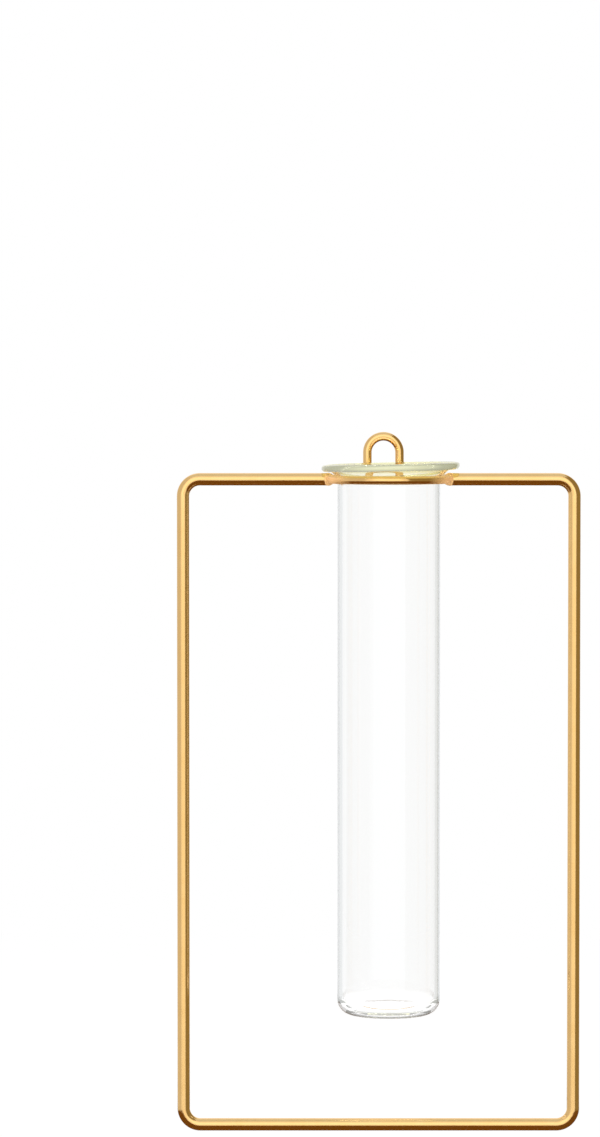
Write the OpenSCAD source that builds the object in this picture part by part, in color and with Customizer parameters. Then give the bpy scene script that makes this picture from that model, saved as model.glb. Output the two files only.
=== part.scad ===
// Wall mounted flower tube: a flared glass tube hangs by its lip in a wire ring,
// which is welded in line with the top bar of a bent wire frame. An upright wire
// eye behind the ring hooks over a nail. +Z is up, the front faces -Y, the wall
// lies towards +Y, and the origin is the centre of the eye's round top.

/* [Frame] */
// Overall width of the rectangular frame
frame_w = 120; // [100:1:160]
// Overall height of the rectangular frame
frame_h = 196.5; // [188:0.5:240]
// Diameter of the frame's round wire
frame_wire_d = 3.7; // [3:0.1:4.5]
// Bend radius of the frame's corners, at the centre of the wire
frame_bend_r = 5; // [4:0.5:12]
// Distance of the ring's axis to the right of the frame's centre line
ring_offset = 3; // [-6:0.5:6]

/* [Support ring] */
// Diameter of the ring's round wire
ring_wire_d = 2.5; // [2:0.1:3.2]
// Room on each side between the tube and the inside of the ring
ring_play = 1; // [0.6:0.1:1.6]

/* [Hanging eye] */
// Diameter of the eye's round wire
eye_wire_d = 2.6; // [2:0.1:3.2]
// Clear width between the eye's legs
eye_opening_w = 7.1; // [5:0.1:10]
// Height of the eye's top above the centre of the ring's wire
eye_rise = 13.8; // [13:0.2:24]
// Bend radius of the eye's feet, at the centre of the wire
eye_foot_r = 2.5; // [2:0.1:3]
// Distance of the eye's centre to the left of the ring's axis
eye_offset = 1.2; // [-3:0.1:3]

/* [Glass tube] */
// Outer diameter of the tube
tube_d = 30.6; // [24:0.2:36]
// Thickness of the tube's wall
tube_wall = 1.5; // [1.2:0.1:2.2]
// Overall length of the tube, from its base to the top of its lip
tube_len = 163.6; // [120:0.2:175]
// Thickness of the flat base
tube_base_t = 2.5; // [1.5:0.1:4]
// Radius of the rounded edge outside the base
tube_corner_r = 4.4; // [3:0.1:6]
// Radius of the rounded edge inside the base
bore_corner_r = 3; // [2:0.1:5]
// Radius of the flare's underside
flare_r = 4.2; // [3.6:0.1:5.6]
// Width of the level band between the flare and the rim
lip_flat = 0.2; // [0.1:0.1:2]
// Thickness of the fire-polished rim
rim_d = 1.9; // [1.7:0.1:2.5]

/* [Welds] */
// Height that the bar welds stand proud of the bar
bar_bead_proud = 0.05; // [0.05:0.05:0.4]
// Length of the straight middle of each bar weld, along the ring
bar_bead_run = 2.4; // [1:0.1:4]
// Distance of a bar weld's centre inside the outer edge of the ring
bar_bead_inset = 0.3; // [0:0.1:0.6]
// Height that the round eye welds stand proud of the eye's wire
foot_bead_r = 0.6; // [0.3:0.1:0.9]
// Depth to which the coped wire ends reach over the ring
cope_depth = 0.6; // [0.3:0.1:0.9]

/* [Fits] */
// Clearance between the flare and what it rests on
seat_gap = 0.25; // [0.1:0.05:0.4]
// Clearance between the edge of the lip and the eye's legs
eye_gap = 0.45; // [0.3:0.05:1]

/* [Hidden] */
$fn = 96;
LEFT = -1;
RIGHT = 1;
gold = "#D9A94F";
weld_gold = "#C9984A";
glass = [0.85, 0.93, 0.9, 0.4];

frame_wire_r = frame_wire_d / 2;
ring_wire_r = ring_wire_d / 2;
eye_wire_r = eye_wire_d / 2;
tube_r = tube_d / 2;
bore_r = tube_r - tube_wall;
rim_r = rim_d / 2;
flare_axis_r = tube_r + flare_r;
rim_axis_r = flare_axis_r + lip_flat;
lip_r = rim_axis_r + rim_r;
ring_r = tube_r + ring_play + ring_wire_r;
ring_out_r = ring_r + ring_wire_r;

// Place of the ring's centre, seen from the centre of the eye's round top
eye_arch_r = (eye_opening_w + eye_wire_d) / 2;
ring_x = eye_offset;
ring_y = -(lip_r + eye_gap + eye_wire_r);
ring_z = -(eye_rise - eye_arch_r - eye_wire_r);

// Centre lines of the frame's bars, in its own plane
frame_x = ring_x - ring_offset;
frame_left = frame_x - frame_w / 2 + frame_wire_r;
frame_right = frame_x + frame_w / 2 - frame_wire_r;
frame_bottom = ring_z - frame_h + frame_wire_d;
bar_end_r = ring_out_r - cope_depth;

// Bar welds: distance of their centre from the ring's axis, and their radius
bar_bead_r = frame_wire_r + bar_bead_proud;
bar_bead_axis_r = ring_out_r - bar_bead_inset;

// Height of the lip's underside above the ring's centre. The flare comes to rest on
// whichever stands highest, the ring, the bar welds or the bars themselves, and the
// height is rounded up to a hundredth of a millimetre.
function flare_rest(axis_r, wire_r) =
    flare_r - sqrt(pow(flare_r - wire_r - seat_gap, 2) - pow(flare_axis_r - axis_r, 2));
function round_up(height) = ceil(height * 100) / 100;
lip_under = round_up(max(
    flare_rest(ring_r, ring_wire_r),
    flare_rest(bar_bead_axis_r, bar_bead_r),
    frame_wire_r + seat_gap + (rim_d - tube_wall) / 2
));
flare_start = lip_under - flare_r;
lip_top = lip_under + (tube_wall + rim_d) / 2;
tube_base = lip_top - tube_len;

// Where an eye's foot meets the outside of the ring, on the side given
function foot_x(side) = side * eye_arch_r;
function foot_meets_y(side) = ring_y + sqrt(pow(ring_out_r, 2) - pow(foot_x(side) - ring_x, 2));

// Draws its children upright, in the frame's plane: their X stays, their Y points up
module upright(y) {
    translate([0, y, 0]) rotate([90, 0, 0]) children();
}

// Draws its children about the ring's centre
module at_ring() {
    translate([ring_x, ring_y, ring_z]) children();
}

// A straight wire along X, from x0 to x1
module wire_x(x0, x1, y, d) {
    translate([x0, y, 0]) rotate([0, 90, 0]) cylinder(d = d, h = x1 - x0);
}

// A straight wire along Y, from y0 to y1
module wire_y(x, y0, y1, d) {
    translate([x, y0, 0]) rotate([-90, 0, 0]) cylinder(d = d, h = y1 - y0);
}

// A bent wire about x, y, which starts at one angle and turns through another
module wire_bend(x, y, start, turn, bend_r, d) {
    translate([x, y, 0]) rotate([0, 0, start])
        rotate_extrude(angle = turn) translate([bend_r, 0]) circle(d = d);
}

// The closed ring of round wire
module ring_solid() {
    at_ring() rotate_extrude() translate([ring_r, 0]) circle(d = ring_wire_d);
}

// The frame's bent wire, whose two ends stop at the ring
module frame_path() {
    inner_left = frame_left + frame_bend_r;
    inner_right = frame_right - frame_bend_r;
    inner_top = ring_z - frame_bend_r;
    inner_bottom = frame_bottom + frame_bend_r;
    upright(ring_y) {
        wire_x(inner_left, ring_x - bar_end_r, ring_z, frame_wire_d);
        wire_bend(inner_left, inner_top, 90, 90, frame_bend_r, frame_wire_d);
        wire_y(frame_left, inner_bottom, inner_top, frame_wire_d);
        wire_bend(inner_left, inner_bottom, 180, 90, frame_bend_r, frame_wire_d);
        wire_x(inner_left, inner_right, frame_bottom, frame_wire_d);
        wire_bend(inner_right, inner_bottom, 270, 90, frame_bend_r, frame_wire_d);
        wire_y(frame_right, inner_bottom, inner_top, frame_wire_d);
        wire_bend(inner_right, inner_top, 0, 90, frame_bend_r, frame_wire_d);
        wire_x(ring_x + bar_end_r, inner_right, ring_z, frame_wire_d);
    }
}

// The eye's bent wire: a round arch, two legs, and feet that turn towards the ring
module eye_path() {
    foot_top = ring_z + eye_foot_r;
    upright(0) {
        wire_bend(0, 0, 0, 180, eye_arch_r, eye_wire_d);
        for (side = [LEFT, RIGHT]) wire_y(foot_x(side), foot_top, 0, eye_wire_d);
    }
    for (side = [LEFT, RIGHT]) {
        foot_run = -eye_foot_r - foot_meets_y(side) + cope_depth;
        translate([foot_x(side), -eye_foot_r, foot_top]) rotate([-90, 0, 90])
            wire_bend(0, 0, 0, 90, eye_foot_r, eye_wire_d);
        translate([foot_x(side), -eye_foot_r, ring_z]) rotate([90, 0, 0])
            cylinder(d = eye_wire_d, h = foot_run);
    }
}

// A weld bead with round ends between a bar's end and the side of the ring
module ring_weld(side) {
    half_run = bar_bead_run / 2;
    difference() {
        at_ring() translate([side * bar_bead_axis_r, 0, 0]) {
            rotate([90, 0, 0]) cylinder(r = bar_bead_r, h = bar_bead_run, center = true);
            for (end = [-half_run, half_run]) translate([0, end, 0]) sphere(r = bar_bead_r);
        }
        frame_path();
        ring_solid();
    }
}

// A round weld bead about the joint between an eye's foot and the back of the ring
module eye_weld(side) {
    difference() {
        translate([foot_x(side), foot_meets_y(side), ring_z]) rotate([90, 0, 0])
            rotate_extrude() translate([eye_wire_r, 0]) intersection() {
                circle(r = foot_bead_r);
                translate([0, -foot_bead_r]) square([foot_bead_r, 2 * foot_bead_r]);
            }
        ring_solid();
    }
}

// Half profile of a round plug with a rounded lower edge, standing on height 0
module plug_profile(plug_r, corner_r, plug_h) {
    square([plug_r - corner_r, plug_h]);
    translate([0, corner_r]) square([plug_r, plug_h - corner_r]);
    translate([plug_r - corner_r, corner_r]) circle(r = corner_r);
}

// Half profile of the tube's straight wall and flat base
module body_profile() {
    body_h = flare_start - tube_base;
    translate([0, tube_base]) difference() {
        plug_profile(tube_r, tube_corner_r, body_h);
        translate([0, tube_base_t]) plug_profile(bore_r, bore_corner_r, body_h);
    }
}

// Half profile of the flare, which turns out through a quarter circle to the rim
module lip_profile() {
    outer_flare_r = flare_r + tube_wall;
    translate([flare_axis_r, flare_start]) intersection() {
        difference() {
            circle(r = outer_flare_r);
            circle(r = flare_r);
        }
        translate([-outer_flare_r, 0]) square(outer_flare_r);
    }
    translate([flare_axis_r, lip_under]) square([lip_flat, tube_wall]);
    translate([rim_axis_r, lip_under + tube_wall / 2]) circle(r = rim_r);
}

module frame_wire() {
    color(gold) difference() {
        frame_path();
        ring_solid();
    }
}

module support_ring() {
    color(gold) ring_solid();
}

module hanging_eye() {
    color(gold) difference() {
        eye_path();
        ring_solid();
    }
}

module ring_weld_left() {
    color(weld_gold) ring_weld(LEFT);
}

module ring_weld_right() {
    color(weld_gold) ring_weld(RIGHT);
}

module eye_weld_left() {
    color(weld_gold) eye_weld(LEFT);
}

module eye_weld_right() {
    color(weld_gold) eye_weld(RIGHT);
}

module glass_tube() {
    color(glass) at_ring() rotate_extrude() {
        body_profile();
        lip_profile();
    }
}

frame_wire();
support_ring();
hanging_eye();
ring_weld_left();
ring_weld_right();
eye_weld_left();
eye_weld_right();
glass_tube();
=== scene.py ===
import math

import bmesh
import bpy
import numpy as np
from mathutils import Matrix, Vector, noise

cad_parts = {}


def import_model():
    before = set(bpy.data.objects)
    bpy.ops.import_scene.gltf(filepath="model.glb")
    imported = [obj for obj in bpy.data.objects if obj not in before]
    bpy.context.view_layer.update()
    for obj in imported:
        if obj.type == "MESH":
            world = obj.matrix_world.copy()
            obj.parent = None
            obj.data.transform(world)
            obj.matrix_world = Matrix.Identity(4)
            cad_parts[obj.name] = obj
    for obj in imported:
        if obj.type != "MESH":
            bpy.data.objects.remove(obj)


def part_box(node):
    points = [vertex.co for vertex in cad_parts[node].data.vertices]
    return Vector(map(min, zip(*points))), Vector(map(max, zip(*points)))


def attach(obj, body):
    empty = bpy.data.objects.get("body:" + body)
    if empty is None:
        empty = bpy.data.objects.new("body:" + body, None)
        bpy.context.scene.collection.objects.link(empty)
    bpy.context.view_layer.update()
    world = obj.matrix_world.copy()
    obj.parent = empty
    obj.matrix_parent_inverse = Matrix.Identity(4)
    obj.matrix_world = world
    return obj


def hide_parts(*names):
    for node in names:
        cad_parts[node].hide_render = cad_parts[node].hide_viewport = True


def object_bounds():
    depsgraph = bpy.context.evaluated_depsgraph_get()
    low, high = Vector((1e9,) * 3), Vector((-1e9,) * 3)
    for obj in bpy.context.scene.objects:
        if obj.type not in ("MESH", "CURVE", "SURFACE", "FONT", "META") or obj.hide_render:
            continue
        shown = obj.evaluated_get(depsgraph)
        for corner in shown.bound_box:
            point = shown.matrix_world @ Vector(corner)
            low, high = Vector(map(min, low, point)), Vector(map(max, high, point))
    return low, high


# Wall mounted flower tube: a clear glass tube hangs by its flared lip in a holder of polished,
# gold-coloured wire. Lengths are in metres. +Z is up, the front faces -Y, and the origin is the
# centre of the hanging eye's round top.
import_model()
cad_low, cad_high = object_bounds()

MM = 0.001
ACROSS = Vector((1, 0, 0))
BACK = Vector((0, 1, 0))
UP = Vector((0, 0, 1))
LEFT = -1
RIGHT = 1
WHITE = (1.0, 1.0, 1.0, 1.0)

# Camera, fitted to the photograph: pitch in degrees, lens and sensor in millimetres
CAMERA_PLACE = (-25.2 * MM, -1322.4 * MM, 20.3 * MM)
CAMERA_PITCH = 2.4
CAMERA_LENS = 138.57
CAMERA_SENSOR = 36.0
CAMERA_CLIP = (0.01, 20.0)

# Glass tube, the same sizes as in the solid
GLASS_WALL = 1.5 * MM
GLASS_BASE = 2.5 * MM
BASE_CORNER = 4.4 * MM
BORE_CORNER = 3.0 * MM
FLARE_R = 4.2 * MM
LIP_FLAT = 0.2 * MM
RIM_R = 0.95 * MM

# Sides round the tube, and steps along its section
GLASS_SIDES = 160
BASE_STEPS = 8
BASE_CORNER_STEPS = 14
BORE_CORNER_STEPS = 12
WALL_STEPS = 60
FLARE_STEPS = 16
RIM_STEPS = 22

# Angles on the flare's quarter circle, in degrees, at which it passes into the rim
FLARE_END_OUTSIDE = 97
FLARE_END_INSIDE = 95

# How far the lip is out of true. Each wave draws it in and has a count of crests, a phase and a
# share of the depth. The rise is the part of that by which a wave also lifts the lip.
LIP_LEAN = 1.0 * MM
LIP_SHIFT = 0.6 * MM
LIP_WAVE = 0.07 * MM
LIP_WAVES = ((3, 0.6, 1.0), (5, 2.1, 0.6))
LIP_WAVE_RISE = 0.5

# Wires: bends and step lengths, the depth of a cut end in the ring, and degrees for a step in a bend
FRAME_BEND = 5.0 * MM
EYE_FOOT_BEND = 2.5 * MM
WIRE_SUNK = 0.6 * MM
WIRE_SIDES = 56
WIRE_STEP = 1.5 * MM
BEND_STEP = 3.0

# Welds: they fade out between two distances from the joint. The stub, where a bar's skin is taken to
# start, is a share of the ring wire's radius. The ripple has a scale on the bead and one that gives
# each weld its own. The search for the skin starts a little past the reach.
WELD_REACH = 3.3 * MM
WELD_FADE = (1.95 * MM, 3.0 * MM)
WELD_PROUD = 0.03 * MM
WELD_SUNK = 0.3 * MM
WELD_FILLET = 1.2 * MM
WELD_STUB = 0.9
WELD_RIPPLE = 0.04 * MM
WELD_RIPPLE_SCALES = (2.6, 900)
WELD_SUBDIVISIONS = 5
WELD_SEARCH = 1.1
WELD_HALVINGS = 30

# Gold plate: its colours, and how far the heat of a weld tints, roughens and dulls the plate beside
# it. The core is the share of that stretch in which the change is full.
GOLD = (0.95, 0.62, 0.26, 1.0)
GOLD_DEEP = (0.91, 0.57, 0.21, 1.0)
GOLD_FIRED = (0.90, 0.50, 0.21, 1.0)
FIRED_TINT = 0.8
FIRED_ROUGH = 0.26
FIRED_MATT = 0.85
FIRED_CORE = 0.5

# Gold plate on the wires. Scales are per metre, and for the marks two round the wire and one along
# it. A detail is the noise's detail and roughness, levels are the stretch of it that is used, and a
# bump is a strength and a depth.
MARK_SCALE = (11.0, 11.0, 45.0)
MARK_DETAIL = (3.0, 0.6)
MARK_LEVELS = (0.3, 0.75)
MARK_ROUGH = (0.10, 0.16)
MARK_BUMP = (0.11, 0.02 * MM)
CLOUD_SCALE = 240.0
CLOUD_DETAIL = (3.0, 0.55)
CLOUD_LEVELS = (0.3, 0.7)
CLOUD_ROUGH = (0.0, 0.04)
TONE_LEVELS = (0.35, 0.7)
TONE_SPREAD = 0.5
GRAIN_SCALE = 5200.0
GRAIN_BUMP = (0.03, 0.01 * MM)

# Where each wire's tone starts between gold and deep gold, and how far the fired plate reaches
FRAME_TONE = 0.0
FRAME_FIRED = 2.4 * MM
RING_TONE = 0.3
RING_FIRED = 16.0 * MM
EYE_TONE = 0.15
EYE_FIRED = 5.0 * MM

# Gold plate on the welds
WELD_CLOUD_SCALE = 600.0
WELD_CLOUD_DETAIL = (3.0, 0.6)
WELD_CLOUD_BUMP = (0.25, 0.06 * MM)
WELD_GRAIN_SCALE = 3200.0
WELD_GRAIN_BUMP = (0.12, 0.02 * MM)
WELD_TONE = (0.3, 1.0)
WELD_ROUGH = (0.36, 0.46)

# Glass: its colours where the wall is looked through, a painted grey shade where the wall is seen
# steeply at its edges, in the flare, and in the rim seen straight on and steeply
GLASS_IOR = 1.47
GLASS_CLEAR = (0.998, 1.0, 1.0)
GLASS_EDGE_PAINTED_SHADE = (0.52, 0.53, 0.54)
FLARE_TINT = (0.955, 0.955, 0.87, 1.0)
RIM_TINT = (0.88, 0.865, 0.46)
RIM_TINT_DEEP = (0.56, 0.515, 0.20)

# Glass: how steeply the wall is seen where it turns to its painted edge shade, and the rim where it
# deepens
WALL_STEEPNESS = (0.66, 0.75)
RIM_STEEPNESS = 0.3

# Glass: bands of height, above the base or below the top of the lip. The base's round corner counts
# as seen more steeply than it is, so it takes more of the painted edge shade.
CORNER_BAND = (1.5 * MM, BASE_CORNER)
CORNER_PAINTED_SHADE_BOOST = 0.18
RIM_BAND = (2.5 * MM, 1.0 * MM)
FLARE_BAND = (6.0 * MM, 2.0 * MM)

# Glass: fine draw lines along the tube, and a slow swell three times as high
DRAW_LINE_SCALE = (420.0, 420.0, 9.0)
SWELL_SCALE = (60.0, 60.0, 22.0)
SWELL_DETAIL = (1.0, 0.4)
SWELL_HEIGHT = 3.0
GLASS_BUMP = (0.10, 0.05 * MM)

# Painted light: the glass glows a little of its own once a ray has bounced more than so many times,
# which lightens the rim and the base. The rim has a stronger painted glow that shows only where it is
# looked at directly, and it fades where it is seen steeply and where it faces up.
PAINTED_GLOW_TINT = (0.86, 0.88, 0.86, 1.0)
PAINTED_GLOW_TINT_AT_RIM = (0.92, 0.915, 0.52, 1.0)
PAINTED_BOUNCE_GLOW = 0.042
PAINTED_GLOW_AFTER_BOUNCES = 3.5
PAINTED_RIM_GLOW = 0.34
PAINTED_RIM_GLOW_FACING = (0.0, 0.36)
PAINTED_RIM_GLOW_UPWARD = (0.45, 0.95)
PAINTED_RIM_GLOW_BOUNCES = 0.5

# Studio: a floor that glows a little, a world with a level for what it lights and one for what
# shows it, and two lamps with their places and power
FLOOR_DROP = 0.45
FLOOR_REACH = 4.0
FLOOR_PAINT = (0.86, 0.86, 0.86, 1.0)
FLOOR_LIFT = 0.505
WORLD_LEVELS = (0.55, 1.0)
LAMP_SIZE = 0.9
LAMPS = (
    ("key", (-0.9, -1.2, 1.3), 22.0),
    ("fill", (1.1, -0.9, 0.7), 6.0),
)

# Studio cards round the object, which fade at their sides over so many degrees. Each has its name,
# degrees of azimuth and height, azimuth 0 towards the camera and 90 to the right, its colour and
# distance, the bounce at which glass shows it, 0 for never, and whether metal shows it.
FRONT_RADIUS = 2.5
SIDE_RADIUS = 1.75
GLASS_RADIUS = 1.3
CARD_STEPS = 16
CARD_FADE = 12.0
CARDS = (
    ("card_front", (-30, 24), (0, 40), (1.36, 1.34, 1.32), FRONT_RADIUS, 0, True),
    ("card_front_low", (-20, 24), (-11, 0), (1.10, 1.08, 0.99), FRONT_RADIUS, 0, True),
    ("card_top", (-180, 180), (60, 90), (0.72, 0.78, 0.86), FRONT_RADIUS, 0, True),
    ("card_left", (-145, -44), (-17, 60), (0.70, 0.70, 0.70), SIDE_RADIUS, 5, True),
    ("card_right", (36, 148), (-17, 60), (0.29, 0.24, 0.12), SIDE_RADIUS, 5, True),
    ("card_in_glass", (-180, 180), (-24, 70), (0.84, 0.855, 0.86), GLASS_RADIUS, 3, False),
)

# Oval card just above the floor, which reaches further back than forward
DARK_CARD_COLOUR = (0.16, 0.07, 0.008)
DARK_CARD_RADII = (2.5, 2.15)
DARK_CARD_BACK = 0.35
DARK_CARD_LIFT = 0.04
DARK_CARD_SIDES = 64
DARK_CARD_BOUNCE = 5

# Bounces that light may take, enough to pass through both walls of the tube and back
LIGHT_BOUNCES = 20
GLOSSY_BOUNCES = 16


def link(obj):
    """Puts an object in the scene."""
    bpy.context.scene.collection.objects.link(obj)
    return obj


def object_from(mesh, name):
    """Turns a bmesh into an object of that name."""
    data = bpy.data.meshes.new(name)
    mesh.to_mesh(data)
    mesh.free()
    return link(bpy.data.objects.new(name, data))


def stand_for(obj, body, slot, *nodes):
    """The piece moves with the body and is shown in place of the CAD nodes."""
    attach(obj, body)
    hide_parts(*nodes)


def smooth_step(share):
    """Eases a share from 0 to 1 in and out."""
    return share * share * (3 - 2 * share)


class Shader:
    """The node tree of a material or a world, with short calls to add and join nodes."""

    def __init__(self, owner, output):
        owner.use_nodes = True
        self.owner = owner
        self.tree = owner.node_tree
        self.tree.nodes.clear()
        self.output = self.tree.nodes.new(output)

    def put(self, socket, value):
        """Joins another node's socket to this one, or sets it to a number or colour."""
        if isinstance(value, bpy.types.NodeSocket):
            self.tree.links.new(value, socket)
        else:
            socket.default_value = value

    def add(self, kind, **values):
        """Adds a node. Each value goes to the input of that name, with _ for a space."""
        node = self.tree.nodes.new(kind)
        for name, value in values.items():
            self.put(node.inputs[name.replace("_", " ")], value)
        return node

    def math(self, operation, *values):
        node = self.tree.nodes.new("ShaderNodeMath")
        node.operation = operation
        for socket, value in zip(node.inputs, values):
            self.put(socket, value)
        return node.outputs[0]

    def attribute(self, name):
        node = self.add("ShaderNodeAttribute")
        node.attribute_name = name
        return node.outputs

    def scaled(self, vector, scale):
        """The vector with each of its axes scaled, which stretches what follows."""
        return self.add("ShaderNodeMapping", Vector=vector, Scale=scale).outputs["Vector"]

    def noise(self, vector, scale=1.0, detail=2.0, rough=0.5):
        node = self.add("ShaderNodeTexNoise", Vector=vector, Scale=scale, Detail=detail,
                        Roughness=rough)
        return node.outputs[0]

    def ramp(self, value, stops):
        """A colour ramp with (place, colour) stops."""
        node = self.add("ShaderNodeValToRGB", Fac=value)
        elements = node.color_ramp.elements
        while len(elements) < len(stops):
            elements.new(0.5)
        for element, (place, colour) in zip(elements, stops):
            element.position = place
            element.color = (*colour, 1.0)
        return node.outputs["Color"]

    def span(self, value, levels, to_levels):
        """The value, moved from one range to another and kept inside it."""
        node = self.add("ShaderNodeMapRange", Value=value, From_Min=levels[0], From_Max=levels[1],
                        To_Min=to_levels[0], To_Max=to_levels[1])
        return node.outputs[0]

    def mix(self, share, a, b):
        node = self.tree.nodes.new("ShaderNodeMix")
        node.data_type = "RGBA"
        colours = [s for s in node.inputs if s.type == "RGBA"]
        self.put(node.inputs[0], share)
        self.put(colours[0], a)
        self.put(colours[1], b)
        return [s for s in node.outputs if s.type == "RGBA"][0]

    def join(self, kind, a, b, **values):
        """Adds a node that joins two shaders."""
        node = self.add(kind, **values)
        for socket, shader in zip(node.inputs[-2:], (a, b)):
            self.put(socket, shader.outputs[0])
        return node

    def bump(self, height, strength_and_depth, normal=None):
        strength, depth = strength_and_depth
        node = self.add("ShaderNodeBump", Height=height, Strength=strength, Distance=depth)
        if normal is not None:
            self.put(node.inputs["Normal"], normal)
        return node.outputs["Normal"]

    def done(self, shader):
        self.tree.links.new(shader.outputs[0], self.output.inputs["Surface"])
        return self.owner


def material_shader(name):
    return Shader(bpy.data.materials.new(name), "ShaderNodeOutputMaterial")


def near(s, place, points, levels):
    """1 up to the first distance from any of the points, and 0 beyond the second."""
    share = 0.0
    for point in points:
        away = s.add("ShaderNodeVectorMath", Vector=place)
        away.operation = "DISTANCE"
        away.inputs[1].default_value = point
        share = s.math("MAXIMUM", share, s.span(away.outputs["Value"], levels, (1.0, 0.0)))
    return share


def gold_material(name, tone, fired_at, reach):
    """Polished gold plate on drawn wire: fine marks along the wire, faint uneven tone and gloss,
    and a warmer, duller stretch next to each weld."""
    s = material_shader(name)
    place = s.add("ShaderNodeTexCoord").outputs["Object"]
    wire_place = s.attribute("wire_place")["Vector"]
    marks = s.noise(s.scaled(wire_place, MARK_SCALE), 1.0, *MARK_DETAIL)
    cloud = s.noise(place, CLOUD_SCALE, *CLOUD_DETAIL)
    grain = s.noise(place, GRAIN_SCALE)
    fired = near(s, place, fired_at, (FIRED_CORE * reach, reach))
    colour = s.mix(s.span(cloud, TONE_LEVELS, (tone, tone + TONE_SPREAD)), GOLD, GOLD_DEEP)
    colour = s.mix(s.math("MULTIPLY", fired, FIRED_TINT), colour, GOLD_FIRED)
    marked = s.span(marks, MARK_LEVELS, MARK_ROUGH)
    rough = s.math("ADD", marked, s.span(cloud, CLOUD_LEVELS, CLOUD_ROUGH))
    rough = s.math("ADD", rough, s.math("MULTIPLY", fired, FIRED_ROUGH))
    metal = s.math("SUBTRACT", 1.0, s.math("MULTIPLY", fired, FIRED_MATT))
    normal = s.bump(grain, GRAIN_BUMP, s.bump(marks, MARK_BUMP))
    plate = s.add("ShaderNodeBsdfPrincipled", Base_Color=colour, Metallic=metal, Roughness=rough,
                  Normal=normal)
    return s.done(plate)


def weld_material():
    """A brazed joint under the same plate: rippled, a shade darker and less sharp than the wire."""
    s = material_shader("gold_weld_plate")
    place = s.add("ShaderNodeTexCoord").outputs["Object"]
    cloud = s.noise(place, WELD_CLOUD_SCALE, *WELD_CLOUD_DETAIL)
    grain = s.noise(place, WELD_GRAIN_SCALE)
    colour = s.mix(s.span(cloud, CLOUD_LEVELS, WELD_TONE), GOLD_DEEP, GOLD_FIRED)
    rough = s.span(cloud, CLOUD_LEVELS, WELD_ROUGH)
    normal = s.bump(grain, WELD_GRAIN_BUMP, s.bump(cloud, WELD_CLOUD_BUMP))
    plate = s.add("ShaderNodeBsdfPrincipled", Base_Color=colour, Metallic=1.0 - FIRED_MATT,
                  Roughness=rough, Normal=normal)
    return s.done(plate)


def painted_glass_glow(s, facing, upward, at_rim):
    """Strength of a glow painted onto the glass, which is no lamp: a little wherever a ray has bounced
    more than a few times, and more at the rim where the camera sees it straight on."""
    depth = s.add("ShaderNodeLightPath").outputs["Ray Depth"]
    # Painted light: a faint glow wherever a ray has bounced more than a few times
    painted_after_bounces = s.math("MULTIPLY", s.math("GREATER_THAN", depth, PAINTED_GLOW_AFTER_BOUNCES), PAINTED_BOUNCE_GLOW)
    seen = s.math("LESS_THAN", depth, PAINTED_RIM_GLOW_BOUNCES)
    # Painted light: the rim's glow, for camera rays only, strongest where the rim is seen straight on
    rim = s.math("MULTIPLY", s.span(facing, PAINTED_RIM_GLOW_FACING, (PAINTED_RIM_GLOW, 0.0)), seen)
    rim = s.math("MULTIPLY", rim, s.span(upward, PAINTED_RIM_GLOW_UPWARD, (1.0, 0.0)))
    return s.math("ADD", painted_after_bounces, s.math("MULTIPLY", at_rim, rim))


def below(top, band):
    """A band of heights that is given as depths below the top."""
    return top - band[0], top - band[1]


def glass_material(name, edge, low_z, rim_z):
    """Clear drawn tubing: faint draw lines, an edge colour where the wall is seen steeply, which is a
    painted grey shade on the outside, a rim that shows the glass's own tint, and a painted glow."""
    s = material_shader(name)
    coordinates = s.add("ShaderNodeTexCoord").outputs
    place = coordinates["Object"]
    height = s.add("ShaderNodeSeparateXYZ", Vector=place).outputs["Z"]
    upward = s.add("ShaderNodeSeparateXYZ", Vector=coordinates["Normal"]).outputs["Z"]
    facing = s.add("ShaderNodeLayerWeight", Blend=0.5).outputs["Facing"]
    # Painted shade: the wall turns grey where it is seen steeply, and more so on the base's round
    # corner
    corner_heights = (low_z + CORNER_BAND[0], low_z + CORNER_BAND[1])
    steep = s.math("ADD", facing, s.span(height, corner_heights, (CORNER_PAINTED_SHADE_BOOST, 0.0)))
    clear_to, painted_shade_from = WALL_STEEPNESS
    wall_painted_shade_stops = [(0.0, GLASS_CLEAR), (clear_to, GLASS_CLEAR), (painted_shade_from, edge), (1.0, edge)]
    rim_stops = [(0.0, RIM_TINT), (RIM_STEEPNESS, RIM_TINT), (1.0, RIM_TINT_DEEP)]
    at_rim = s.span(height, below(rim_z, RIM_BAND), (0.0, 1.0))
    at_flare = s.span(height, below(rim_z, FLARE_BAND), (0.0, 1.0))
    colour = s.mix(at_flare, s.ramp(steep, wall_painted_shade_stops), FLARE_TINT)
    colour = s.mix(at_rim, colour, s.ramp(facing, rim_stops))
    lines = s.noise(s.scaled(place, DRAW_LINE_SCALE))
    swell = s.noise(s.scaled(place, SWELL_SCALE), 1.0, *SWELL_DETAIL)
    relief = s.math("ADD", lines, s.math("MULTIPLY", swell, SWELL_HEIGHT))
    # Painted light: a glow of the glass's own, olive at the rim
    painted_glow_tint = s.mix(at_rim, PAINTED_GLOW_TINT, PAINTED_GLOW_TINT_AT_RIM)
    glow = painted_glass_glow(s, facing, upward, at_rim)
    glass = s.add("ShaderNodeBsdfPrincipled", Base_Color=colour, Roughness=0.0, IOR=GLASS_IOR,
                  Normal=s.bump(relief, GLASS_BUMP), Transmission_Weight=1.0,
                  Emission_Color=painted_glow_tint, Emission_Strength=glow)
    return s.done(glass)


def straight(a, b):
    """Points from a towards b, both ends left out."""
    steps = max(1, round((b - a).length / WIRE_STEP))
    return [a.lerp(b, i / steps) for i in range(1, steps)]


def turns(start, end, steps):
    """Angles in radians from start to end, which are in degrees, both included."""
    return [math.radians(start + (end - start) * i / steps) for i in range(steps + 1)]


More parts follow.
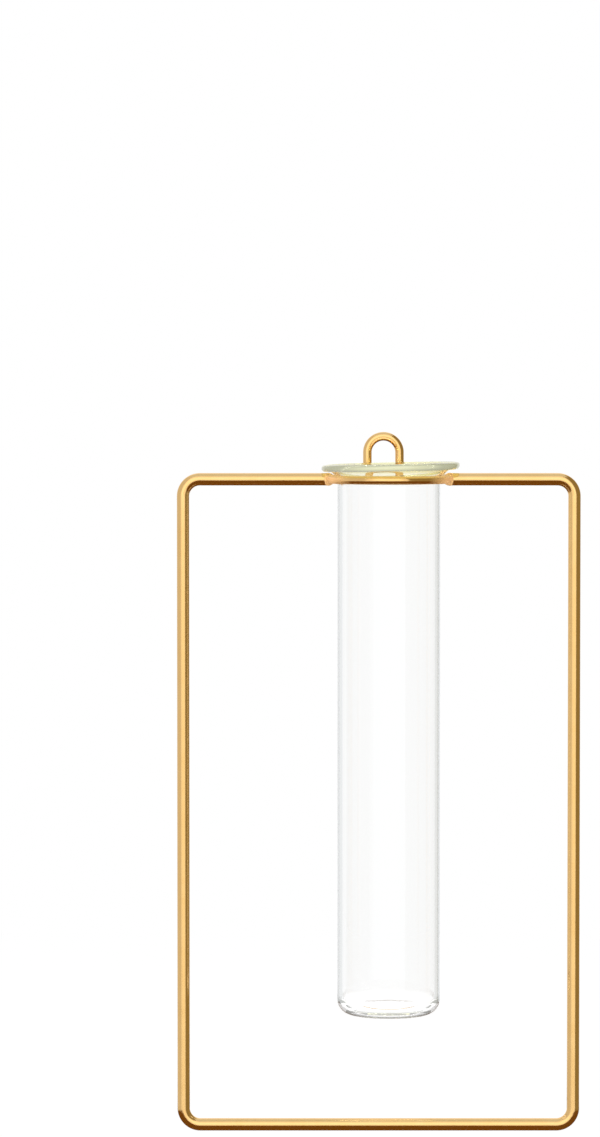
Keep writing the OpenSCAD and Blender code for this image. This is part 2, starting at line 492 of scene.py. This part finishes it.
def bend(centre, radius, first, second, start, end):
    """Points on an arc in the plane of two directions, angles in degrees, both ends included."""
    steps = max(2, round(abs(end - start) / BEND_STEP))
    angles = turns(start, end, steps)
    return [centre + radius * (math.cos(a) * first + math.sin(a) * second) for a in angles]


def wire_frames(points, closed, side):
    """For each point, two directions square to the wire that follow it without a twist, and the
    length of wire before the point."""
    frames = []
    count = len(points)
    run = 0.0
    last = None
    for i, point in enumerate(points):
        before = points[i - 1] if closed or i > 0 else point
        after = points[(i + 1) % count] if closed or i < count - 1 else point
        along = (after - before).normalized()
        if last is not None:
            side = last.rotation_difference(along) @ side
            run += (point - points[i - 1]).length
        side = (side - side.dot(along) * along).normalized()
        last = along
        frames.append((side, along.cross(side), run))
    return frames


def wire(name, points, radius, closed, side):
    """A round wire along the points. side is a direction square to the first stretch. Each point of
    its skin keeps its place on the wire: two numbers for the way round and one for the length."""
    mesh = bmesh.new()
    circle = [2 * math.pi * k / WIRE_SIDES for k in range(WIRE_SIDES)]
    rows, marks = [], []
    for point, (first, second, run) in zip(points, wire_frames(points, closed, side)):
        outs = [math.cos(a) * first + math.sin(a) * second for a in circle]
        rows.append([mesh.verts.new(point + radius * out) for out in outs])
        marks += [(math.cos(a), math.sin(a), run) for a in circle]
    pairs = list(zip(rows, rows[1:])) + ([(rows[-1], rows[0])] if closed else [])
    for a, b in pairs:
        for k in range(WIRE_SIDES):
            n = (k + 1) % WIRE_SIDES
            mesh.faces.new((a[k], a[n], b[n], b[k])).smooth = True
    if not closed:
        for row in (rows[0], rows[-1]):
            for edge in mesh.faces.new(row).edges:
                edge.smooth = False
    bmesh.ops.recalc_face_normals(mesh, faces=mesh.faces)
    obj = object_from(mesh, name)
    place = obj.data.attributes.new("wire_place", "FLOAT_VECTOR", "POINT")
    place.data.foreach_set("vector", np.array(marks, np.float32).ravel())
    return obj


def ring_size():
    """Centre of the support ring, the radius of its centre line and that of its wire."""
    low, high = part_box("support_ring")
    wire_r = (high.z - low.z) / 2
    return (low + high) / 2, (high.x - low.x) / 2 - wire_r, wire_r


def eye_size():
    """Radius of the eye's round top, on its centre line, and that of its wire."""
    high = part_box("hanging_eye")[1]
    return high.x - high.y, high.y


def bar_joint(side):
    """Where a bar of the frame meets the ring, on the ring's centre line."""
    centre, ring_r, _ = ring_size()
    return centre + ACROSS * side * ring_r


def foot_joint(side):
    """Where an eye's foot meets the ring, on the ring's centre line."""
    centre, ring_r, _ = ring_size()
    x = side * eye_size()[0]
    return Vector((x, centre.y + math.sqrt(ring_r ** 2 - (x - centre.x) ** 2), centre.z))


def frame_wire():
    """The rectangle of wire, from one side of the ring round to the other."""
    low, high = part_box("frame_wire")
    centre, ring_r, ring_wire_r = ring_size()
    wire_r = (high.y - low.y) / 2
    left, right = low.x + wire_r, high.x - wire_r
    bottom, top = low.z + wire_r, high.z - wire_r
    end = ring_r + ring_wire_r - WIRE_SUNK
    corners = (
        (left + FRAME_BEND, top - FRAME_BEND, 90),
        (left + FRAME_BEND, bottom + FRAME_BEND, 180),
        (right - FRAME_BEND, bottom + FRAME_BEND, 270),
        (right - FRAME_BEND, top - FRAME_BEND, 0),
    )
    points = [Vector((centre.x - end, centre.y, top))]
    for x, z, start in corners:
        turn = bend(Vector((x, centre.y, z)), FRAME_BEND, ACROSS, UP, start, start + 90)
        points += straight(points[-1], turn[0]) + turn
    last = Vector((centre.x + end, centre.y, top))
    points += straight(points[-1], last) + [last]
    obj = wire("gold_frame_wire", points, wire_r, False, BACK)
    joints = [bar_joint(LEFT), bar_joint(RIGHT)]
    obj.data.materials.append(gold_material("frame_gold", FRAME_TONE, joints, FRAME_FIRED))
    stand_for(obj, "holder", "gold_frame", "frame_wire")


def support_ring():
    """The closed ring that the tube hangs in. Its seam is at the back."""
    centre, ring_r, wire_r = ring_size()
    points = bend(centre, ring_r, BACK, ACROSS, 0, 360)[:-1]
    obj = wire("gold_support_ring", points, wire_r, True, UP)
    joints = [bar_joint(LEFT), bar_joint(RIGHT)]
    obj.data.materials.append(gold_material("ring_gold", RING_TONE, joints, RING_FIRED))
    stand_for(obj, "holder", "gold_ring", "support_ring")


def eye_foot(side):
    """Points of an eye's foot, from its cut end at the ring back and up to the leg."""
    centre, _, ring_wire_r = ring_size()
    end = foot_joint(side) + BACK * (ring_wire_r - WIRE_SUNK)
    hub = Vector((end.x, -EYE_FOOT_BEND, centre.z + EYE_FOOT_BEND))
    turn = bend(hub, EYE_FOOT_BEND, BACK, UP, -90, 0)
    return [end] + straight(end, turn[0]) + turn


def hanging_eye():
    """The upside-down U, with both feet turned forward to the ring."""
    arch_r, wire_r = eye_size()
    up, down = eye_foot(LEFT), eye_foot(RIGHT)[::-1]
    arch = bend(Vector((0, 0, 0)), arch_r, ACROSS, UP, 180, 0)
    points = up + straight(up[-1], arch[0]) + arch + straight(arch[-1], down[0]) + down
    obj = wire("gold_hanging_eye", points, wire_r, False, UP)
    joints = [foot_joint(LEFT), foot_joint(RIGHT)]
    obj.data.materials.append(gold_material("eye_gold", EYE_TONE, joints, EYE_FIRED))
    stand_for(obj, "holder", "gold_eye", "hanging_eye")


def soft_min(a, b, width):
    """The smaller of two distances, with a round fillet of that width where they are alike."""
    share = np.clip(0.5 + 0.5 * (b - a) / width, 0, 1)
    return b * (1 - share) + a * share - width * share * (1 - share)


def outside_weld(points, away, ripple, joint, outward, wire_r, ring):
    """How far each point stands outside a weld's skin: the smooth union of both wires, a little proud
    near the joint and sunk under the wires where the weld ends. away is the distance to the joint."""
    centre, ring_r, ring_wire_r = ring
    run = np.maximum((points - joint) @ outward, wire_r - ring_wire_r * WELD_STUB)
    from_bar = np.linalg.norm(points - joint - run[:, None] * outward, axis=1) - wire_r
    flat = np.hypot(points[:, 0] - centre.x, points[:, 1] - centre.y) - ring_r
    from_ring = np.hypot(flat, points[:, 2] - centre.z) - ring_wire_r
    fade = smooth_step(np.clip((away - WELD_FADE[0]) / (WELD_FADE[1] - WELD_FADE[0]), 0, 1))
    lift = WELD_PROUD + WELD_RIPPLE * ripple
    skin = soft_min(from_bar, from_ring, WELD_FILLET) - lift * (1 - fade) + WELD_SUNK * fade
    return np.maximum(skin, away - WELD_REACH)


def weld(name, node, joint, outward, wire_r, material):
    """A weld where a wire meets the ring. Each point of a ball goes out along its own ray until it
    lies on the weld's skin, which halving the stretch finds."""
    mesh = bmesh.new()
    bmesh.ops.create_icosphere(mesh, subdivisions=WELD_SUBDIVISIONS, radius=1.0)
    rays = np.array([v.co.normalized() for v in mesh.verts])
    bead_scale, place_scale = WELD_RIPPLE_SCALES
    own_place = joint * place_scale
    ripple = np.array([noise.noise(Vector(ray) * bead_scale + own_place) for ray in rays])
    joint, outward, ring = np.array(joint), np.array(outward), ring_size()
    low, high = np.zeros(len(rays)), np.full(len(rays), WELD_SEARCH * WELD_REACH)
    for _ in range(WELD_HALVINGS):
        half = (low + high) / 2
        points = joint + rays * half[:, None]
        inside = outside_weld(points, half, ripple, joint, outward, wire_r, ring) < 0
        low, high = np.where(inside, half, low), np.where(inside, high, half)
    for vert, ray, away in zip(mesh.verts, rays, low):
        vert.co = Vector(joint + ray * away)
    for face in mesh.faces:
        face.smooth = True
    obj = object_from(mesh, name)
    obj.data.materials.append(material)
    stand_for(obj, "holder", "gold_weld", node)


def welds():
    """The frame's two welds at the sides of the ring, and the eye's two at its back."""
    low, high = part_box("frame_wire")
    frame_r = (high.y - low.y) / 2
    eye_r = eye_size()[1]
    plate = weld_material()
    for side, word in ((LEFT, "left"), (RIGHT, "right")):
        weld("bar_weld_" + word, "ring_weld_" + word, bar_joint(side), ACROSS * side, frame_r, plate)
        weld("foot_weld_" + word, "eye_weld_" + word, foot_joint(side), BACK, eye_r, plate)


def arc(centre, radius, start, end, steps):
    """Points (r, z) on an arc, angles in degrees, both ends included."""
    angles = turns(start, end, steps)
    return [(centre[0] + radius * math.cos(a), centre[1] + radius * math.sin(a)) for a in angles]


def line(a, b, steps):
    """Points (r, z) on a straight line, without its first and last."""
    shares = [i / steps for i in range(1, steps)]
    return [(a[0] + (b[0] - a[0]) * share, a[1] + (b[1] - a[1]) * share) for share in shares]


def glass_profile(low, high, tube_r):
    """The tube's section: outside from the middle of its base up and round the rim, and inside down.
    Also the height at which the flare starts."""
    flare = (tube_r + FLARE_R, high - RIM_R - GLASS_WALL / 2 - FLARE_R)
    rim = (flare[0] + LIP_FLAT, high - RIM_R)
    bore_r, floor_z = tube_r - GLASS_WALL, low + GLASS_BASE
    corner = (tube_r - BASE_CORNER, low + BASE_CORNER)
    bore = (bore_r - BORE_CORNER, floor_z + BORE_CORNER)
    rim_half = math.degrees(math.asin(GLASS_WALL / 2 / RIM_R))
    outer = [(0.0, low)] + line((0.0, low), (corner[0], low), BASE_STEPS)
    outer += arc(corner, BASE_CORNER, -90, 0, BASE_CORNER_STEPS)
    outer += line((tube_r, corner[1]), (tube_r, flare[1]), WALL_STEPS)
    outer += arc(flare, FLARE_R, 180, FLARE_END_OUTSIDE, FLARE_STEPS)
    outer += arc(rim, RIM_R, -180 + rim_half, 180 - rim_half, RIM_STEPS)
    inner = arc(flare, FLARE_R + GLASS_WALL, FLARE_END_INSIDE, 180, FLARE_STEPS)
    inner += line((bore_r, flare[1]), (bore_r, bore[1]), WALL_STEPS)
    inner += arc(bore, BORE_CORNER, 0, -90, BORE_CORNER_STEPS)
    inner += line((bore[0], floor_z), (0.0, floor_z), BASE_STEPS) + [(0.0, floor_z)]
    return outer, inner, flare[1]


def revolved(outer, inner, place):
    """One closed skin of the section's points (r, z), each of which place puts at its angles. Faces
    of the inner stretch get the second material."""
    mesh = bmesh.new()
    rows = []
    for r, z in outer + inner:
        count = GLASS_SIDES if r > 0 else 1
        angles = [2 * math.pi * k / GLASS_SIDES for k in range(count)]
        rows.append([mesh.verts.new(place(r, z, a)) for a in angles])
    for i, (a, b) in enumerate(zip(rows, rows[1:])):
        for k in range(GLASS_SIDES):
            n = (k + 1) % GLASS_SIDES
            around = [a[k % len(a)], a[n % len(a)], b[n % len(b)], b[k % len(b)]]
            face = mesh.faces.new(list(dict.fromkeys(around)))
            face.smooth = True
            face.material_index = 0 if i < len(outer) - 1 else 1
    bmesh.ops.recalc_face_normals(mesh, faces=mesh.faces)
    return mesh


def glass_tube():
    """The tube as one closed skin. Its lip is a little out of true, as hand-turned glass is."""
    low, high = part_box("glass_tube")
    axis = ring_size()[0]
    lip_r = (high.x - low.x) / 2
    outer, inner, flare_z = glass_profile(low.z, high.z, lip_r - RIM_R - LIP_FLAT - FLARE_R)
    wave_most = LIP_WAVE * sum(part for _, _, part in LIP_WAVES)

    def place(r, z, a):
        share = smooth_step(min(1.0, max(0.0, (z - flare_z) / (high.z - flare_z))))
        wave = LIP_WAVE * sum(part * math.sin(crests * a + phase) for crests, phase, part in LIP_WAVES)
        drawn_in = wave + wave_most
        lean = LIP_LEAN * (r * math.cos(a) + lip_r) / (2 * lip_r)
        rise = share * (lean + LIP_WAVE_RISE * drawn_in)
        r -= share * drawn_in
        x = axis.x + r * math.cos(a) + share * LIP_SHIFT
        return x, axis.y + r * math.sin(a), z + rise

    obj = object_from(revolved(outer, inner, place), "clear_glass_tube")
    # The outside takes the painted grey edge shade; the inside stays clear.
    obj.data.materials.append(glass_material("glass_outside", GLASS_EDGE_PAINTED_SHADE, low.z, high.z))
    obj.data.materials.append(glass_material("glass_inside", GLASS_CLEAR, low.z, high.z))
    stand_for(obj, "tube", "clear_glass", "glass_tube")


def reflect_only(obj, soft, colour, in_glass, in_metal=True):
    """Makes a card glow with its colour in reflections, where soft gives a share for each of its
    points. Glass shows it only at the bounce in_glass, after one reflection. Nothing else sees it,
    and it lights and shades nothing."""
    obj.data.attributes.new("soft", "FLOAT", "POINT").data.foreach_set("value", soft)
    s = material_shader(obj.name + "_glow")
    glow = s.add("ShaderNodeEmission", Color=(*colour, 1.0), Strength=1.0)
    path = s.add("ShaderNodeLightPath").outputs
    at_bounce = s.math("COMPARE", path["Ray Depth"], in_glass, 0.5)
    share = s.math("MULTIPLY", at_bounce, s.attribute("soft")["Fac"])
    share = s.math("MULTIPLY", share, s.math("COMPARE", path["Glossy Depth"], 1.0, 0.5))
    through = path["Is Transmission Ray"] if in_metal else 1.0
    unseen = s.math("MULTIPLY", through, s.math("SUBTRACT", 1.0, share))
    clear = s.add("ShaderNodeBsdfTransparent")
    obj.data.materials.append(s.done(s.join("ShaderNodeMixShader", glow, clear, Fac=unseen)))
    obj.visible_camera = False
    obj.visible_diffuse = False
    obj.visible_shadow = False
    obj.visible_volume_scatter = False


def card(name, azimuth, elevation, colour, radius, in_glass, in_metal):
    """A curved card on a sphere about the object, soft at its left and right edges."""
    centre = (cad_low + cad_high) / 2
    width = azimuth[1] - azimuth[0]
    mesh = bmesh.new()
    grid, soft = [], []
    for e in turns(*elevation, CARD_STEPS):
        row = []
        for k, a in enumerate(turns(*azimuth, CARD_STEPS)):
            out = Vector((math.sin(a) * math.cos(e), -math.cos(a) * math.cos(e), math.sin(e)))
            row.append(mesh.verts.new(centre + out * radius))
            inset = min(k, CARD_STEPS - k) * width / CARD_STEPS
            soft.append(1.0 if width == 360 else min(1.0, inset / CARD_FADE))
        grid.append(row)
    for a, b in zip(grid, grid[1:]):
        for k in range(CARD_STEPS):
            mesh.faces.new((a[k], a[k + 1], b[k + 1], b[k]))
    reflect_only(object_from(mesh, name), soft, colour, in_glass, in_metal)


def dark_card():
    """The card below, in one piece without soft edges."""
    mesh = bmesh.new()
    bmesh.ops.create_circle(mesh, cap_ends=True, segments=DARK_CARD_SIDES, radius=1.0)
    obj = object_from(mesh, "card_below")
    obj.scale = (*DARK_CARD_RADII, 1.0)
    obj.location.y = DARK_CARD_BACK
    obj.location.z = cad_low.z - FLOOR_DROP + DARK_CARD_LIFT
    reflect_only(obj, [1.0] * DARK_CARD_SIDES, DARK_CARD_COLOUR, DARK_CARD_BOUNCE)


def studio_cards():
    """What the wire and the glass reflect: a bright front box, a duller top and left, and dark below
    and right. One card all round is for the glass alone."""
    for values in CARDS:
        card(*values)
    dark_card()


def floor():
    """A plain pale floor under the object, which keeps its shadow."""
    z = cad_low.z - FLOOR_DROP
    signs = ((-1, -1), (1, -1), (1, 1), (-1, 1))
    corners = [(x * FLOOR_REACH, y * FLOOR_REACH, z) for x, y in signs]
    data = bpy.data.meshes.new("floor")
    data.from_pydata(corners, [], [(0, 1, 2, 3)])
    s = material_shader("pale_floor")
    paint = s.add("ShaderNodeBsdfDiffuse", Color=FLOOR_PAINT)
    glow = s.add("ShaderNodeEmission", Color=WHITE, Strength=FLOOR_LIFT)
    data.materials.append(s.done(s.join("ShaderNodeAddShader", paint, glow)))
    link(bpy.data.objects.new("floor", data))


def world():
    """White behind the object, also in metal and glass, and a softer light on it from all round."""
    s = Shader(bpy.data.worlds.new("studio"), "ShaderNodeOutputWorld")
    path = s.add("ShaderNodeLightPath").outputs
    shiny = s.math("MAXIMUM", path["Is Glossy Ray"], path["Is Transmission Ray"])
    seen = s.math("MAXIMUM", shiny, path["Is Camera Ray"])
    level = s.span(seen, (0.0, 1.0), WORLD_LEVELS)
    bpy.context.scene.world = s.done(s.add("ShaderNodeBackground", Color=WHITE, Strength=level))


def lamp(name, place, power):
    """A soft box that faces the object."""
    data = bpy.data.lights.new(name, "AREA")
    data.shape = "SQUARE"
    data.size = LAMP_SIZE
    data.energy = power
    obj = link(bpy.data.objects.new(name, data))
    obj.location = place
    aim = (cad_low + cad_high) / 2 - Vector(place)
    obj.rotation_euler = aim.to_track_quat("-Z", "Y").to_euler()
    obj.visible_glossy = False


def camera():
    """The photograph's view, a little from above."""
    data = bpy.data.cameras.new("camera")
    data.lens = CAMERA_LENS
    data.sensor_width = CAMERA_SENSOR
    data.clip_start, data.clip_end = CAMERA_CLIP
    obj = link(bpy.data.objects.new("camera", data))
    obj.location = CAMERA_PLACE
    obj.rotation_euler = (math.radians(90 - CAMERA_PITCH), 0.0, 0.0)
    bpy.context.scene.camera = obj


camera()
world()
floor()
for values in LAMPS:
    lamp(*values)
studio_cards()
frame_wire()
support_ring()
hanging_eye()
welds()
glass_tube()

scene = bpy.context.scene
scene.view_settings.view_transform = "Standard"
scene.cycles.max_bounces = LIGHT_BOUNCES
scene.cycles.glossy_bounces = GLOSSY_BOUNCES
scene.cycles.transmission_bounces = LIGHT_BOUNCES
